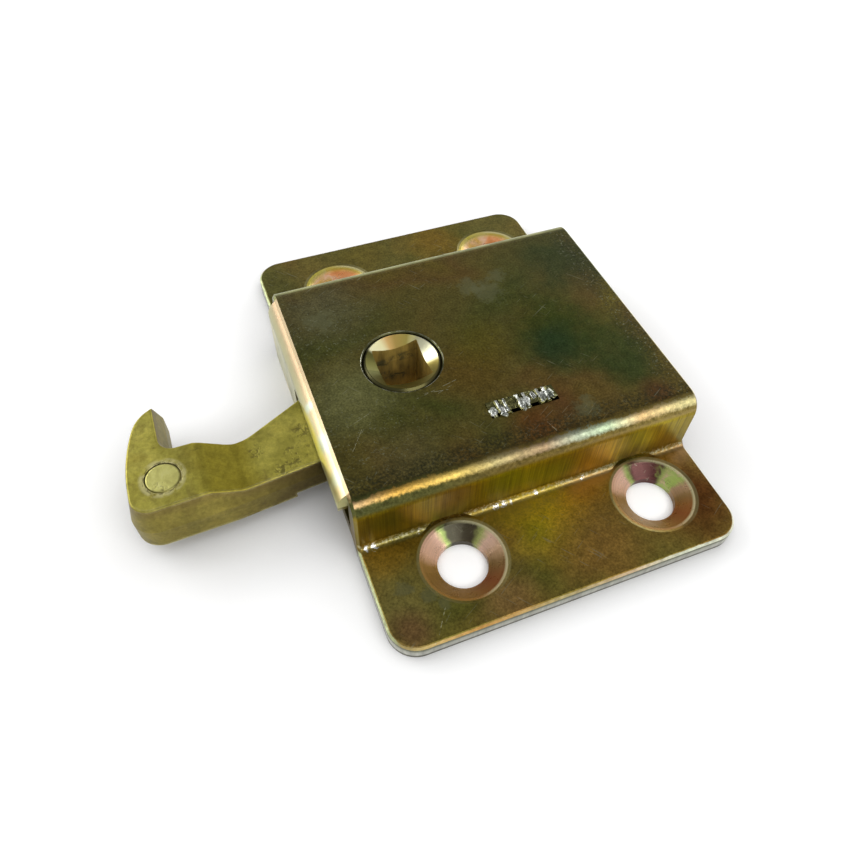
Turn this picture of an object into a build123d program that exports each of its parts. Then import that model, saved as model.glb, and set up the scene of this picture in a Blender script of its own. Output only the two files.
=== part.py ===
from build123d import *
import math
import os

os.makedirs("parts", exist_ok=True)

# A surface-mounted boot lock: a square key turns a cast hook inside a pressed sheet case.
# Millimetres. The origin is on the hook's pivot axis, in the plane of the mounting face.
# +Z points out of the mounting face, the hook points to -X and its throat opens to +Y.

# Pressed case
sheet = 2.6
flange_width = 51.4
flange_length = 76.9
flange_corner_r = 4.0
case_length = 43.5
case_height = 12.4
bend_r = 2.8
foot_r = 1.0
edge_roll = 0.4
pivot_to_left_edge = 14.35
pivot_to_front_edge = 37.6

# End walls, folded down between the risers
left_overhang = 1.3
right_overhang = 0.3
corner_gap = 0.3
lip_depth = 3.55
slot_corner_r = 0.8

# Four countersunk screw holes
screw_hole_r = 3.5
screw_from_left_edge = 12.9
screw_from_right_edge = 9.0
screw_from_front_edge = 9.6
screw_from_rear_edge = 10.3
sink_r = 5.9
sink_depth = 1.7
sink_rim_cut = 0.4

# Base plate and its two tongues through the right end wall
base_sheet = 2.2
plate_fit = 0.08
plate_inset = 0.2
tongue_width = 6.0
tongue_spacing = 20.0

# Hook hub and its running fits
journal_r = 5.78
journal_chamfer = 0.4
journal_lift = 0.25
running_fit = 0.08
hub_r = 7.4
hub_play = 0.15
hub_hole_chamfer = 0.2
socket_width = 7.05
socket_corner_r = 0.2
mouth_r = 5.3
mouth_angle = 120.0

# Hook arm, seen from above. Its two flanks are tangents to the boss circle.
boss_r = 8.85
rear_flank_slope = 26.6
front_flank_slope = 5.8
arm_top_gap = 0.65
arm_bottom_gap = 1.3
rebate = 0.9
rebate_from_pivot = 19.65
rest_gap = 0.1
draft = 12.0
parting_height = 3.3

# Hook nose, from the pivot to its far end and then back along the beak, the throat and the ramp
nose_reach = 41.3
nose_drop = 0.51
nose_corner_r = 3.5
nose_length = 13.3
nose_step = 1.65
beak_width = 6.5
beak_tip_y = 6.9
beak_root_y = 7.0
beak_shoulder_y = 3.0
beak_shoulder_in = 1.8
throat_y = 1.3
throat_r = 1.3
throat_length = 3.6
hollow_slope = 15.4
hollow_r = 5.5
ramp_crest_from_throat = 0.6
ramp_length = 4.5
ramp_r = 3.0
cast_edge_r = 0.3

# Pin riveted flush in the nose
pin_r = 2.4
pin_from_nose_end = 5.45
pin_from_nose_front = 5.65
pin_chamfer = 0.2

# Spring anchor, staked in a slot of the case top that is a little wider than its tenon
anchor_x = 13.1
anchor_y = 12.7
anchor_width = 13.0
anchor_sheet = 2.2
tenon_width = 10.2
tenon_fit = 0.05
tenon_play = 0.5
tenon_proud = 0.1
tenon_sink = 0.3
stake_count = 3
stake_pitch = 3.1
stake_width = 1.7
stake_proud = 0.4
stake_grip = 1.2
stake_chamfer = 0.25
chisel_depth = 0.5
chisel_width = 0.8

# Leaf spring and its rivets
leaf_sheet = 0.6
leaf_height = 4.4
leaf_contact_from_pivot = 11.0
leaf_contact_gap = 0.1
leaf_curl_r = 1.6
leaf_curl_angle = 60.0
rivet_r = 1.0
rivet_head_r = 1.7
rivet_head_height = 0.6
rivet_spacing = 5.0

# Places worked out from the sizes
half_case = case_length / 2
half_inside = half_case - sheet
half_wall = half_inside - corner_gap
inside_top = case_height - sheet
left_edge = -pivot_to_left_edge
right_edge = left_edge + flange_width
front_edge = -pivot_to_front_edge
rear_edge = front_edge + flange_length
left_wall = left_edge - left_overhang
right_wall = right_edge + right_overhang
lip_edge = case_height - lip_depth
mouth_depth = mouth_r / math.tan(math.radians(mouth_angle / 2))
arm_top = lip_edge - arm_top_gap
arm_bottom = base_sheet + arm_bottom_gap
hook_bottom = arm_bottom - rebate
hook_parting = hook_bottom + parting_height
nose_top = arm_top + nose_step
beak_x = nose_reach - beak_width
throat_end = beak_x - throat_length
arm_front_bend = nose_reach - nose_length
ramp_crest = throat_end - ramp_crest_from_throat
ramp_foot = ramp_crest - ramp_length
screw_spacing_x = flange_width - screw_from_left_edge - screw_from_right_edge
screw_spacing_y = flange_length - screw_from_front_edge - screw_from_rear_edge
screw_x = left_edge + screw_from_left_edge + screw_spacing_x / 2
screw_y = front_edge + screw_from_front_edge + screw_spacing_y / 2


def on_rear_flank(x):
    # height in Y of the arm's rear flank at its widest, the parting plane
    slope = math.radians(rear_flank_slope)
    return x * math.tan(slope) + boss_r / math.cos(slope)


def on_front_flank(x):
    # the same for the front flank
    slope = math.radians(front_flank_slope)
    return x * math.tan(slope) - boss_r / math.cos(slope)


def corners(*points):
    # the corners of the sketch in work that lie nearest to the given points
    return [vertices().sort_by_distance(point)[0] for point in points]


def rim(chosen):
    # the edges of the chosen faces that only one of them has
    every = [edge for face in chosen for edge in face.edges()]
    return [edge for edge in every if sum(edge.is_same(other) for other in every) == 1]


def looks_up(face):
    # true for a face that points up more than sideways, so not for the drafted flanks
    normal = face.normal_at()
    return normal.Z > math.hypot(normal.X, normal.Y)


def rolled(edge):
    # true for the upper boundary edges of the sheet, which blanking left blunt
    middle = edge.center()
    upper = middle.Z > inside_top + edge_roll
    outer = abs(middle.Y) > half_case - edge_roll / 2 and middle.Z > sheet - edge_roll / 2
    beside = min(abs(middle.X - left_edge), abs(middle.X - right_edge)) < flange_corner_r
    before = min(abs(middle.Y - front_edge), abs(middle.Y - rear_edge)) < flange_corner_r
    return (upper or outer) and (beside or before)


# The slot's rear end is where the hook rests when it is closed.
slot_rear = on_rear_flank(left_wall + sheet) + rest_gap

# The nose carries the arm's front flank on, and the pin sits in it.
nose_front = nose_drop - on_front_flank(-arm_front_bend)
pin_x = nose_reach - pin_from_nose_end
pin_y = nose_front - pin_from_nose_front

# Tool for one countersunk screw hole, with its lightly broken rim
with BuildPart() as screw_hole:
    with BuildSketch(Plane.XZ):
        with BuildLine():
            Polyline(
                (0, -sheet),
                (screw_hole_r, -sheet),
                (screw_hole_r, -sink_depth),
                (sink_r, 0),
                (sink_r + 2 * sink_rim_cut, 0),
                (sink_r + 2 * sink_rim_cut, foot_r),
                (0, foot_r),
                close=True,
            )
        make_face()
        chamfer(corners((sink_r, 0)), sink_rim_cut)
    revolve(axis=Axis.Z)

# Case: a hat section for the flanges and risers, and a channel for the two end walls
with BuildPart() as case_cover:
    with BuildSketch(Plane.YZ.offset(left_edge)):
        with BuildLine():
            Polyline(
                (front_edge, 0),
                (front_edge, sheet),
                (-half_case, sheet),
                (-half_case, case_height),
                (half_case, case_height),
                (half_case, sheet),
                (rear_edge, sheet),
                (rear_edge, 0),
                (half_inside, 0),
                (half_inside, inside_top),
                (-half_inside, inside_top),
                (-half_inside, 0),
                close=True,
            )
        make_face()
        fillet(corners((-half_case, case_height), (half_case, case_height)), bend_r)
        fillet(corners((-half_inside, inside_top), (half_inside, inside_top)), bend_r - sheet)
        fillet(corners((-half_case, sheet), (half_case, sheet)), foot_r)
        fillet(corners((-half_inside, 0), (half_inside, 0)), foot_r + sheet)
    extrude(amount=flange_width)
    upright = edges().filter_by(Axis.Z).group_by(Axis.Y)
    fillet(upright[0] + upright[-1], flange_corner_r)
    chamfer(edges().filter_by(rolled), edge_roll)
    with BuildSketch(Plane.XZ.offset(-half_wall)):
        with BuildLine():
            Polyline(
                (left_wall, 0),
                (left_wall, case_height),
                (right_wall, case_height),
                (right_wall, 0),
                (right_wall - sheet, 0),
                (right_wall - sheet, inside_top),
                (left_wall + sheet, inside_top),
                (left_wall + sheet, 0),
                close=True,
            )
        make_face()
        fillet(corners((left_wall, case_height), (right_wall, case_height)), bend_r)
        fillet(corners((left_wall + sheet, inside_top), (right_wall - sheet, inside_top)), bend_r - sheet)
    extrude(amount=2 * half_wall)
    # slot for the hook's arm, under the lip
    with BuildSketch(Plane.YZ.offset(left_wall)):
        with BuildLine():
            Polyline((-half_wall, 0), (-half_wall, lip_edge), (slot_rear, lip_edge), (slot_rear, 0), close=True)
        make_face()
        fillet(corners((slot_rear, lip_edge)), slot_corner_r)
    extrude(amount=sheet, mode=Mode.SUBTRACT)
    # notches in the right end wall for the base plate's tongues
    with BuildSketch(Plane.YZ.offset(right_wall - sheet)):
        with GridLocations(tongue_spacing, 0, 2, 1):
            Rectangle(
                tongue_width + 2 * plate_fit,
                base_sheet + plate_fit,
                align=(Align.CENTER, Align.MIN),
            )
    extrude(amount=sheet, mode=Mode.SUBTRACT)
    with Locations((screw_x, screw_y, sheet)):
        with GridLocations(screw_spacing_x, screw_spacing_y, 2, 2):
            add(screw_hole.part, mode=Mode.SUBTRACT)
    with Locations((0, 0, case_height)):
        Hole(journal_r + running_fit, depth=sheet)
    chamfer(
        edges().filter_by(GeomType.CIRCLE).sort_by_distance((0, 0, case_height))[0],
        hub_hole_chamfer,
    )
    with BuildSketch(Plane.XY.offset(inside_top)):
        with Locations((anchor_x, -anchor_y - tenon_play / 2)):
            Rectangle(tenon_width + 2 * tenon_fit, anchor_sheet + tenon_play + 2 * tenon_fit)
    extrude(amount=sheet, mode=Mode.SUBTRACT)
case_cover.part.label = "case_cover"
export_step(case_cover.part, "parts/case_cover.step")

# Base plate: between the risers, notched round the left end wall
plate_left = left_edge + plate_inset
with BuildPart() as base_plate:
    with BuildSketch():
        with BuildLine():
            Polyline(
                (plate_left, -half_inside + plate_fit),
                (right_wall - sheet - plate_fit, -half_inside + plate_fit),
                (right_wall - sheet - plate_fit, half_inside - plate_fit),
                (left_wall + sheet + plate_fit, half_inside - plate_fit),
                (left_wall + sheet + plate_fit, slot_rear - plate_fit),
                (plate_left, slot_rear - plate_fit),
                close=True,
            )
        make_face()
        with Locations((right_wall - sheet / 2, 0)):
            with GridLocations(0, tongue_spacing, 1, 2):
                Rectangle(sheet + 2 * plate_fit, tongue_width)
        Circle(journal_r + running_fit, mode=Mode.SUBTRACT)
        with Locations((anchor_x, -anchor_y)):
            Rectangle(tenon_width + 2 * tenon_fit, anchor_sheet + 2 * tenon_fit, mode=Mode.SUBTRACT)
    extrude(amount=base_sheet)
base_plate.part.label = "base_plate"
export_step(base_plate.part, "parts/base_plate.step")

# Hook: one casting with its hub. The outline is drawn at the parting plane, its widest level.
rear_tangent = math.radians(90 + rear_flank_slope)
front_tangent = math.radians(front_flank_slope - 90)
hollow_run = math.tan(math.radians(hollow_slope))
flank_run = math.tan(math.radians(rear_flank_slope))
hollow_x = (on_rear_flank(0) + throat_y + throat_end * hollow_run) / -(flank_run + hollow_run)
with BuildPart() as hook_lever:
    with BuildSketch(Plane.XY.offset(hook_parting)) as outline:
        with BuildLine():
            Polyline(
                (-nose_reach, -beak_root_y),
                (-nose_reach, -nose_front),
                (-arm_front_bend, on_front_flank(-arm_front_bend)),
                (boss_r * math.cos(front_tangent), boss_r * math.sin(front_tangent)),
                (0, 0),
                (boss_r * math.cos(rear_tangent), boss_r * math.sin(rear_tangent)),
                (hollow_x, on_rear_flank(hollow_x)),
                (-throat_end, -throat_y),
                (-beak_x, -throat_y),
                (-beak_x, beak_tip_y),
            )
            shoulder = TangentArc(
                (-nose_reach, -beak_root_y),
                (-nose_reach + beak_shoulder_in, beak_shoulder_y),
                tangent=(0, 1),
            )
            TangentArc(shoulder @ 1, (-beak_x, beak_tip_y), tangent=shoulder % 1)
        make_face()
        fillet(corners((-nose_reach, -nose_front)), nose_corner_r)
        fillet(corners((-beak_x, -throat_y)), throat_r)
        fillet(corners((hollow_x, on_rear_flank(hollow_x))), hollow_r)
        Circle(boss_r)
    extrude(amount=nose_top - hook_parting, taper=draft)
    extrude(outline.sketch, amount=hook_bottom - hook_parting)
    # the arm lies lower than the nose, with a ramp between them
    with BuildSketch(Plane.XZ):
        with BuildLine():
            Polyline(
                (-ramp_crest - nose_step, nose_top + nose_step),
                (-ramp_crest - nose_step, nose_top),
                (-ramp_crest, nose_top),
                (-ramp_foot, arm_top),
                (2 * boss_r, arm_top),
                (2 * boss_r, nose_top + nose_step),
                close=True,
            )
        make_face()
        fillet(corners((-ramp_crest, nose_top), (-ramp_foot, arm_top)), ramp_r)
    extrude(amount=2 * boss_r, both=True, mode=Mode.SUBTRACT)
    fillet(rim(faces().filter_by(looks_up)), cast_edge_r)
    # rebate under the arm's inner part, which passes over the base plate
    with BuildSketch(Plane.XY.offset(hook_bottom)):
        with Locations((-rebate_from_pivot, 0)):
            Rectangle(rebate_from_pivot + 2 * boss_r, 4 * boss_r, align=(Align.MIN, Align.CENTER))
    extrude(amount=rebate, mode=Mode.SUBTRACT)
    # hub with a journal at each end
    with BuildSketch(Plane.XY.offset(base_sheet + hub_play)):
        Circle(hub_r)
    extrude(amount=inside_top - base_sheet - 2 * hub_play)
    with BuildSketch(Plane.XY.offset(journal_lift)):
        Circle(journal_r)
    extrude(amount=case_height - journal_lift)
    journal_rims = edges().filter_by(GeomType.CIRCLE).group_by(Axis.Z)
    chamfer(journal_rims[0] + journal_rims[-1], journal_chamfer)
    # square socket with a wide conical mouth
    with BuildSketch(Plane.XY):
        RectangleRounded(socket_width, socket_width, socket_corner_r)
    extrude(amount=case_height, mode=Mode.SUBTRACT)
    with Locations((0, 0, case_height)):
        Cone(0, mouth_r, mouth_depth, align=(Align.CENTER, Align.CENTER, Align.MAX), mode=Mode.SUBTRACT)
    with Locations((-pin_x, -pin_y, nose_top)):
        Hole(pin_r, depth=nose_top)
hook_lever.part.label = "hook_lever"
export_step(hook_lever.part, "parts/hook_lever.step")

# Pin riveted flush in the nose
with BuildPart() as nose_pin:
    with BuildSketch(Plane.XY.offset(hook_bottom)):
        with Locations((-pin_x, -pin_y)):
            Circle(pin_r)
    extrude(amount=nose_top - hook_bottom)
    chamfer(edges().filter_by(GeomType.CIRCLE), pin_chamfer)
nose_pin.part.label = "nose_pin"
export_step(nose_pin.part, "parts/nose_pin.step")

# Spring anchor: a strip on edge with a tenon at each end
with BuildPart() as spring_anchor:
    # chisel blows spread the upper tenon across the slot and above it
    with BuildSketch(Plane.XY.offset(case_height - stake_grip)):
        with Locations((anchor_x, -anchor_y - tenon_play / 2)):
            with GridLocations(stake_pitch, 0, stake_count, 1):
                Rectangle(stake_width, anchor_sheet + tenon_play)
    extrude(amount=stake_grip + stake_proud)
    chamfer(rim(faces().group_by(Axis.Z)[-1]), stake_chamfer)
    with BuildSketch(Plane.XY.offset(base_sheet)):
        with Locations((anchor_x, -anchor_y)):
            Rectangle(anchor_width, anchor_sheet)
    extrude(amount=inside_top - base_sheet)
    with BuildSketch(Plane.XY.offset(tenon_sink)):
        with Locations((anchor_x, -anchor_y)):
            Rectangle(tenon_width, anchor_sheet)
    extrude(amount=case_height + tenon_proud - tenon_sink)
    with BuildSketch(Plane.XZ.offset(anchor_y - anchor_sheet / 2)):
        with Locations((anchor_x, case_height + stake_proud)):
            with GridLocations(stake_pitch, 0, stake_count, 1):
                Polygon((-chisel_width / 2, 0), (chisel_width / 2, 0), (0, -chisel_depth), align=None)
    extrude(amount=anchor_sheet + tenon_play, mode=Mode.SUBTRACT)
    with Locations(Plane.XZ.offset(anchor_y + anchor_sheet / 2)):
        with Locations((anchor_x, (arm_bottom + arm_top) / 2)):
            with GridLocations(rivet_spacing, 0, 2, 1):
                Hole(rivet_r)
spring_anchor.part.label = "spring_anchor"
export_step(spring_anchor.part, "parts/spring_anchor.step")

# Leaf spring: from the anchor's rear face to the hook's front flank
leaf_middle = (arm_bottom + arm_top) / 2
leaf_root_y = -anchor_y + anchor_sheet / 2 + leaf_sheet / 2
leaf_tip_x = -leaf_contact_from_pivot
leaf_tip_y = on_front_flank(leaf_tip_x) - leaf_contact_gap - leaf_sheet / 2
with BuildPart() as leaf_spring:
    with BuildSketch(Plane.XY.offset(leaf_middle - leaf_height / 2)):
        with BuildLine() as leaf_path:
            root = Line(
                (anchor_x + tenon_width / 2, leaf_root_y),
                (anchor_x - anchor_width / 2, leaf_root_y),
            )
            blade = TangentArc(root @ 1, (leaf_tip_x, leaf_tip_y), tangent=root % 1)
            JernArc(start=blade @ 1, tangent=blade % 1, radius=leaf_curl_r, arc_size=leaf_curl_angle)
        trace(line_width=leaf_sheet)
    extrude(amount=leaf_height)
    with Locations(Plane.XZ.offset(-leaf_root_y - leaf_sheet / 2)):
        with Locations((anchor_x, leaf_middle)):
            with GridLocations(rivet_spacing, 0, 2, 1):
                Hole(rivet_r)
leaf_spring.part.label = "leaf_spring"
export_step(leaf_spring.part, "parts/leaf_spring.step")

# Two rivets through the leaf and the anchor
stack = anchor_sheet + leaf_sheet
with BuildPart() as spring_rivets:
    with Locations(Plane.XZ.offset(anchor_y - anchor_sheet / 2 - leaf_sheet)):
        with Locations((anchor_x, leaf_middle)):
            with GridLocations(rivet_spacing, 0, 2, 1):
                Cylinder(rivet_r, stack, align=(Align.CENTER, Align.CENTER, Align.MIN))
                Cylinder(rivet_head_r, rivet_head_height, align=(Align.CENTER, Align.CENTER, Align.MAX))
    with Locations(Plane.XZ.offset(anchor_y + anchor_sheet / 2)):
        with Locations((anchor_x, leaf_middle)):
            with GridLocations(rivet_spacing, 0, 2, 1):
                Cylinder(rivet_head_r, rivet_head_height, align=(Align.CENTER, Align.CENTER, Align.MIN))
    ends = faces().filter_by(GeomType.PLANE).group_by(Axis.Y)
    chamfer(rim(ends[0]) + rim(ends[-1]), rivet_head_height / 2)
spring_rivets.part.label = "spring_rivets"
export_step(spring_rivets.part, "parts/spring_rivets.step")
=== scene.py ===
import bmesh
import bpy
import math
import numpy as np
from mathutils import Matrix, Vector


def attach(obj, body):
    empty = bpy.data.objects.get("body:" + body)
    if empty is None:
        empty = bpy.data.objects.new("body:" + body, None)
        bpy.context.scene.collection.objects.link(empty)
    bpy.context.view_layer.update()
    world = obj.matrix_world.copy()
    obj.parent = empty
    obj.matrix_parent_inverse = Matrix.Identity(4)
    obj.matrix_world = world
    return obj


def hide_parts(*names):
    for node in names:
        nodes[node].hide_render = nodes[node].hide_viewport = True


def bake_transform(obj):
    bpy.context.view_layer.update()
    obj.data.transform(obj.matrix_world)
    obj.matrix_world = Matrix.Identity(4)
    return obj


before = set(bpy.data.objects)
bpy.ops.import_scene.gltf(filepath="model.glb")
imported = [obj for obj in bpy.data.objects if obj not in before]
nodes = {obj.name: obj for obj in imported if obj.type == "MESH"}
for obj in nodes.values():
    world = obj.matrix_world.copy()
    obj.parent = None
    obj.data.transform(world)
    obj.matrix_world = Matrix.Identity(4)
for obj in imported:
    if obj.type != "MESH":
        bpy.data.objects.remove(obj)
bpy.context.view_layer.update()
mm = 0.001  # the scene is in metres, and notes say which settings are in mm
print("frame loaded:", ", ".join(sorted(nodes)))


def addObject(name, data):
    thing = bpy.data.objects.new(name, data)
    bpy.context.scene.collection.objects.link(thing)
    return thing


# the camera stands where the photograph was taken from
cameraView = {
    "place": (-23.471, -66.558, 89.203),  # mm
    "turn": (37.4304, -1.0345, -20.9941),  # degrees about X, Y and Z
    "lens": 30.28,
    "sensor": 36.0,
    "clipStart": 0.005,
}


def addCamera(view):
    camera = addObject("camera", bpy.data.cameras.new("camera"))
    camera.location = [value * mm for value in view["place"]]
    camera.rotation_euler = [math.radians(value) for value in view["turn"]]
    camera.data.lens = view["lens"]
    camera.data.sensor_width = view["sensor"]
    camera.data.clip_start = view["clipStart"]
    bpy.context.scene.camera = camera


lighting = {
    "horizon": 0.95,
    "zenith": 0.34,
    "domeBand": (0.05, 0.8),  # heights between which the sky turns from horizon to zenith
    "softboxes": [
        # azimuth, elevation, distance, width, height, radiance
        (138, 28, 0.6, 0.42, 0.34, 3.3),
        (32, 13, 0.6, 0.34, 0.26, 2.6),
        (-74, 39, 0.6, 0.5, 0.18, 3.5),
    ],
    "ceiling": (0, 89, 0.7, 0.8, 0.8, 1.0),  # lights the paper round the lock, and no metal mirrors it
    "aim": (0.01, 0.0, 0.006),
}


def addSoftbox(name, aim, azimuth, elevation, distance, width, high, radiance):
    lamp = bpy.data.lights.new(name, "AREA")
    lamp.shape = "RECTANGLE"
    lamp.size, lamp.size_y = width, high
    lamp.energy = radiance * math.pi * width * high
    holder = addObject(name, lamp)
    around, up = math.radians(azimuth), math.radians(elevation)
    away = Vector((math.cos(around) * math.cos(up), math.sin(around) * math.cos(up), math.sin(up)))
    holder.location = aim + away * distance
    holder.rotation_euler = away.to_track_quat("Z", "Y").to_euler()
    holder.visible_camera = False
    return holder


def addLights(light):
    world = bpy.data.worlds.new("studio")
    bpy.context.scene.world = world
    world.use_nodes = True
    tree = world.node_tree
    tree.nodes.clear()
    add, link = tree.nodes.new, tree.links.new
    direction, height, dome, background, output = (add(f"ShaderNode{kind}") for kind in (
        "TexCoord", "SeparateXYZ", "MapRange", "Background", "OutputWorld"))
    dome.interpolation_type = "SMOOTHSTEP"
    dome.inputs["From Min"].default_value, dome.inputs["From Max"].default_value = light["domeBand"]
    dome.inputs["To Min"].default_value = light["horizon"]
    dome.inputs["To Max"].default_value = light["zenith"]
    link(direction.outputs["Generated"], height.inputs[0])
    link(height.outputs["Z"], dome.inputs["Value"])
    link(dome.outputs["Result"], background.inputs["Strength"])
    link(background.outputs[0], output.inputs["Surface"])
    aim = Vector(light["aim"])
    for index, place in enumerate(light["softboxes"]):
        addSoftbox(f"softbox{index + 1}", aim, *place)
    addSoftbox("ceiling", aim, *light["ceiling"]).visible_glossy = False


class Paint:
    # one material's node tree: every call adds nodes and gives back their output

    def __init__(self, name):
        self.material = bpy.data.materials.new(name)
        self.material.use_nodes = True
        self.tree = self.material.node_tree
        self.tree.nodes.clear()
        self.output = self.add("OutputMaterial")
        self.shader = self.add("BsdfPrincipled")
        self.join(self.shader.outputs[0], self.output.inputs["Surface"])
        self.place = self.add("TexCoord").outputs["Object"]
        self.normal = self.add("NewGeometry").outputs["Normal"]
        self.x, self.y, self.z = self.parts(self.place)
        self.up = self.parts(self.normal)[2]  # 1 on faces that look up, 0 on upright ones

    def add(self, kind, **settings):
        node = self.tree.nodes.new("ShaderNode" + kind)
        for key, value in settings.items():
            setattr(node, key, value)
        return node

    def join(self, source, target):
        if hasattr(source, "is_output"):
            self.tree.links.new(source, target)
        else:
            target.default_value = source

    def calc(self, operation, *values, clamp=False):
        node = self.add("Math", operation=operation, use_clamp=clamp)
        for value, target in zip(values, node.inputs):
            self.join(value, target)
        return node.outputs[0]

    def plus(self, first, second):
        return self.calc("ADD", first, second)

    def minus(self, first, second):
        return self.calc("SUBTRACT", first, second)

    def chain(self, operation, result, *others):
        for value in others:
            result = self.calc(operation, result, value)
        return result

    def times(self, *values):
        return self.chain("MULTIPLY", *values)

    def most(self, *values):
        return self.chain("MAXIMUM", *values)

    def absolute(self, value):
        return self.calc("ABSOLUTE", value)

    def reach(self, x, y):
        # distance from the axis that x and y are measured from
        return self.calc("SQRT", self.plus(self.times(x, x), self.times(y, y)))

    def vector(self, operation, *values):
        node = self.add("VectorMath", operation=operation)
        for value, target in zip(values, node.inputs):
            self.join(value, target)
        return node.outputs["Value" if operation in ("DISTANCE", "DOT_PRODUCT") else "Vector"]

    def distance(self, centre):
        return self.vector("DISTANCE", self.place, tuple(value * mm for value in centre))

    def parts(self, vector):
        node = self.add("SeparateXYZ")
        self.join(vector, node.inputs[0])
        return tuple(node.outputs)

    def noise(self, scale, detail=3.0, rough=0.55, bend=0.0, stretch=None, turn=0.0):
        # scale is in waves per metre of the object, turn in degrees
        node = self.add("TexNoise")
        node.inputs["Scale"].default_value = scale
        node.inputs["Detail"].default_value = detail
        node.inputs["Roughness"].default_value = rough
        node.inputs["Distortion"].default_value = bend
        source = self.place
        if stretch:
            fit = self.add("Mapping", vector_type="TEXTURE")
            fit.inputs["Rotation"].default_value = (0, 0, math.radians(turn))
            fit.inputs["Scale"].default_value = stretch
            self.join(source, fit.inputs["Vector"])
            source = fit.outputs[0]
        self.join(source, node.inputs["Vector"])
        return node.outputs[0]

    def step(self, value, low, high, start=0.0, end=1.0, smooth=True):
        # start where value is low, end where it is high, and a slope between them
        node = self.add("MapRange")
        node.interpolation_type = "SMOOTHSTEP" if smooth else "LINEAR"
        for source, target in zip((value, low, high, start, end), node.inputs):
            self.join(source, target)
        return node.outputs["Result"]

    def fade(self, length, low, high, start=0.0, end=1.0, smooth=True):
        # a step over a length, with low and high in mm
        return self.step(length, low * mm, high * mm, start, end, smooth)

    def between(self, value, *stops):
        # 0 outside the first and last stop, 1 between the two inner ones
        return self.times(self.step(value, stops[0], stops[1]), self.step(value, stops[3], stops[2]))

    def band(self, length, *stops):
        # the same over a length, with the stops in mm
        return self.between(length, *[stop * mm for stop in stops])

    def vary(self, noise, start, end):
        # a noise spread evenly from start to end
        return self.step(noise, 0.3, 0.7, start, end, False)

    def flecks(self, low, high, *noise):
        # 1 where such a noise lies above high, 0 where it lies below low
        return self.step(self.noise(*noise), low, high)

    def swing(self, noise, width):
        # a noise round 0, up to half the width to each side
        return self.times(self.minus(noise, 0.5), width)

    def ramp(self, value, *stops):
        node = self.add("ValToRGB")
        points = node.color_ramp.elements
        while len(points) < len(stops):
            points.new(1.0)
        for point, (position, color) in zip(points, stops):
            point.position = position
            point.color = (*color, 1.0)
        self.join(value, node.inputs[0])
        return node.outputs[0]

    def around(self, turn, hues):
        # turn is an azimuth in radians, and each hue stands at its azimuth in degrees
        share = self.step(turn, -math.pi, math.pi, smooth=False)
        return self.ramp(share, *[((azimuth + 180) / 360, hue) for azimuth, hue in hues])

    def mix(self, factor, first, second, blend="MIX"):
        node = self.add("Mix", data_type="RGBA", blend_type=blend)
        self.join(factor, node.inputs[0])
        for color, target in ((first, node.inputs[6]), (second, node.inputs[7])):
            self.join((*color, 1.0) if isinstance(color, tuple) else color, target)
        return node.outputs[2]

    def shade(self, color, factor):
        # the colour times a grey that varies over the surface
        grey = self.add("CombineColor")
        for target in grey.inputs:
            self.join(factor, target)
        return self.mix(1.0, color, grey.outputs[0], "MULTIPLY")

    def spot(self, centre, radius, soft=0.5, fray=None, share=0.6):
        # 1 inside a ball round centre, fading to 0 at its edge; fray moves that edge by a share of the radius
        away = self.distance(centre)
        if fray is not None:
            away = self.plus(away, self.swing(fray, 2 * share * radius * mm))
        return self.fade(away, radius, radius * (1 - soft))

    def spots(self, places, soft, *noise):
        # torn spots, each given by its place and radius
        fray = self.noise(*noise)
        return self.most(*[self.spot(centre, radius, soft, fray, 1.4) for centre, radius in places])

    def line(self, start, end, width):
        # 1 on the straight line from start to end, 0 from half its width on
        first, last = (Vector(point) * mm for point in (start, end))
        along = last - first
        offset = self.vector("SUBTRACT", self.place, tuple(first))
        reached = self.vector("DOT_PRODUCT", offset, tuple(along))
        share = self.calc("MULTIPLY", reached, 1 / along.length_squared, clamp=True)
        scale = self.add("VectorMath", operation="SCALE")
        scale.inputs[0].default_value = tuple(along)
        self.join(share, scale.inputs["Scale"])
        return self.fade(self.vector("DISTANCE", offset, scale.outputs[0]), width / 2, width / 5)

    def edges(self, radius):
        # the normal rounded within radius, and how far it turns there: 0 on flats, more towards an edge
        node = self.add("Bevel", samples=4)
        node.inputs["Radius"].default_value = radius * mm
        same = self.vector("DOT_PRODUCT", node.outputs[0], self.normal)
        return node.outputs[0], self.calc("SUBTRACT", 1.0, same, clamp=True)

    def bump(self, height, depth, strength):
        node = self.add("Bump")
        node.inputs["Strength"].default_value = strength
        node.inputs["Distance"].default_value = depth * mm
        self.join(height, node.inputs["Height"])
        self.join(node.outputs[0], self.shader.inputs["Normal"])

    def finish(self, color, rough, metal=1.0):
        for key, value in zip(("Base Color", "Roughness", "Metallic"), (color, rough, metal)):
            self.join(value, self.shader.inputs[key])
        return self.material


def assign(node, material):
    if not nodes[node].material_slots:
        nodes[node].data.materials.append(material)
    for slot in nodes[node].material_slots:
        slot.material = material


# the four screw holes in mm: their middle, and half their distances
screwHoles = {
    "middle": (13.3, 0.5),
    "apart": (14.75, 28.5),
}


def fromScrewHole(paint):
    # x and y measured from the nearest screw hole's axis, and the distance to it
    sides = []
    for value, middle, half in zip((paint.x, paint.y), screwHoles["middle"], screwHoles["apart"]):
        offset = paint.minus(value, middle * mm)
        sides.append(paint.minus(offset, paint.times(paint.calc("SIGN", offset), half * mm)))
    return *sides, paint.reach(*sides)


paperFloor = {
    "white": 0.86,
    "radius": 3.0,
    "sides": 96,
    "sink": 0.02,  # mm under the lock
    # the lift fades close to the lock as a painted contact shadow, and is raised over the screw holes as painted
    # light
    "lift": 0.26,  # what the camera, gloss and glass see on top of the lit paper, fading close to the lock
    "paintedShadowReach": 14.0,  # mm
    "paintedShadowPower": 3.2,
    "paintedHoleLight": 0.3,
    "paintedHoleLightReach": (4.4, 2.2),  # mm from a screw hole's axis
}


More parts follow.
